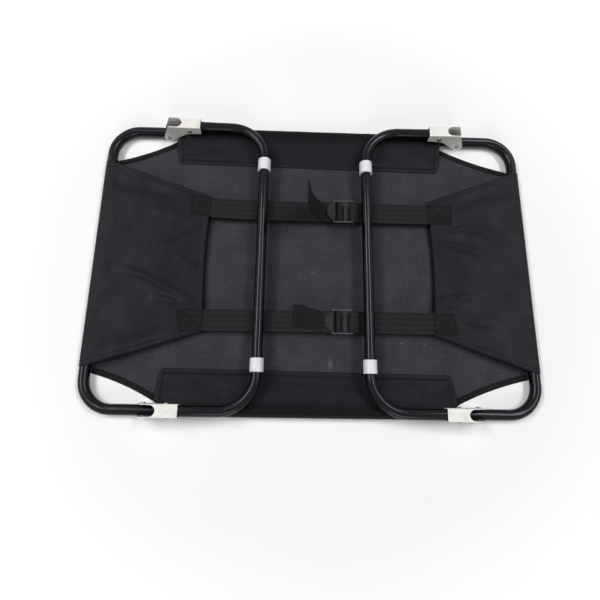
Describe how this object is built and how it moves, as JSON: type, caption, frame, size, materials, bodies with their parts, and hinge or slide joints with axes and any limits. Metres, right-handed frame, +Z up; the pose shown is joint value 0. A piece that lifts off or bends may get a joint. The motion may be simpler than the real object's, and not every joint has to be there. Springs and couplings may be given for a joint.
{
  "type": "dog bed with frame",
  "caption": "Folding raised dog bed, face down with legs folded: cloth panel on a bent-tube frame, end flaps drawn together by buckled straps, U legs on sheet-metal hinge brackets",
  "frame": {"origin": "Middle of the sleeping face, on the floor plane, as the bed lies face down with its legs folded", "axes": "+X along the length to the right in the picture, +Y across the width away from the viewer, +Z up from the sleeping face to the underside"},
  "size_m": [0.95, 0.657, 0.1165],
  "materials": {
    "tube_paint": "gloss black powder coat",
    "bracket_paint": "satin off-white paint",
    "rivet_steel": "plated steel",
    "foot_plastic": "moulded white plastic",
    "panel_cloth": "woven cloth, grey coated underside",
    "cover_cloth": "black woven cloth",
    "webbing": "ribbed black webbing",
    "buckle_plastic": "moulded black plastic"
  },
  "bodies": {
    "frame": {"end_bow_left": "tube_paint", "end_bow_right": "tube_paint", "side_rail_far": "tube_paint", "side_rail_near": "tube_paint", "pivot_rivet_left_far": "rivet_steel", "pivot_rivet_left_near": "rivet_steel", "pivot_rivet_right_far": "rivet_steel", "pivot_rivet_right_near": "rivet_steel", "sleeping_panel": "panel_cloth", "side_sleeve_far": "cover_cloth", "side_sleeve_near": "cover_cloth", "end_flap_left": "cover_cloth", "end_flap_right": "cover_cloth", "corner_binding_left_far": "cover_cloth", "corner_binding_left_near": "cover_cloth", "corner_binding_right_far": "cover_cloth", "corner_binding_right_near": "cover_cloth", "strap_run_far": "webbing", "strap_run_near": "webbing", "strap_loop_far": "webbing", "strap_loop_near": "webbing"},
    "left_leg": {"leg_tube_left": "tube_paint", "hinge_bracket_left_far": "bracket_paint", "hinge_bracket_left_near": "bracket_paint", "leg_rivet_left_far": "rivet_steel", "leg_rivet_left_near": "rivet_steel", "foot_sleeve_left_far": "foot_plastic", "foot_sleeve_left_near": "foot_plastic"},
    "right_leg": {"leg_tube_right": "tube_paint", "hinge_bracket_right_far": "bracket_paint", "hinge_bracket_right_near": "bracket_paint", "leg_rivet_right_far": "rivet_steel", "leg_rivet_right_near": "rivet_steel", "foot_sleeve_right_far": "foot_plastic", "foot_sleeve_right_near": "foot_plastic"},
    "far_buckle": {"buckle_far": "buckle_plastic", "strap_tail_far": "webbing"},
    "near_buckle": {"buckle_near": "buckle_plastic", "strap_tail_near": "webbing"}
  },
  "joints": [
    {"name": "left_leg_fold", "type": "hinge", "parent": "frame", "child": "left_leg", "pos_m": [-0.3385, 0, 0.012], "axis": [0, -1, 0], "range_deg": [0, 119.4]},
    {"name": "right_leg_fold", "type": "hinge", "parent": "frame", "child": "right_leg", "pos_m": [0.3385, 0, 0.012], "axis": [0, 1, 0], "range_deg": [0, 119.4]},
    {"name": "far_buckle_tilt", "type": "hinge", "parent": "frame", "child": "far_buckle", "pos_m": [0.0831, 0.121, 0.02015], "axis": [0, 1, 0], "range_deg": [0, 25]},
    {"name": "near_buckle_tilt", "type": "hinge", "parent": "frame", "child": "near_buckle", "pos_m": [0.0789, -0.1285, 0.02015], "axis": [0, 1, 0], "range_deg": [0, 25]}
  ]
}
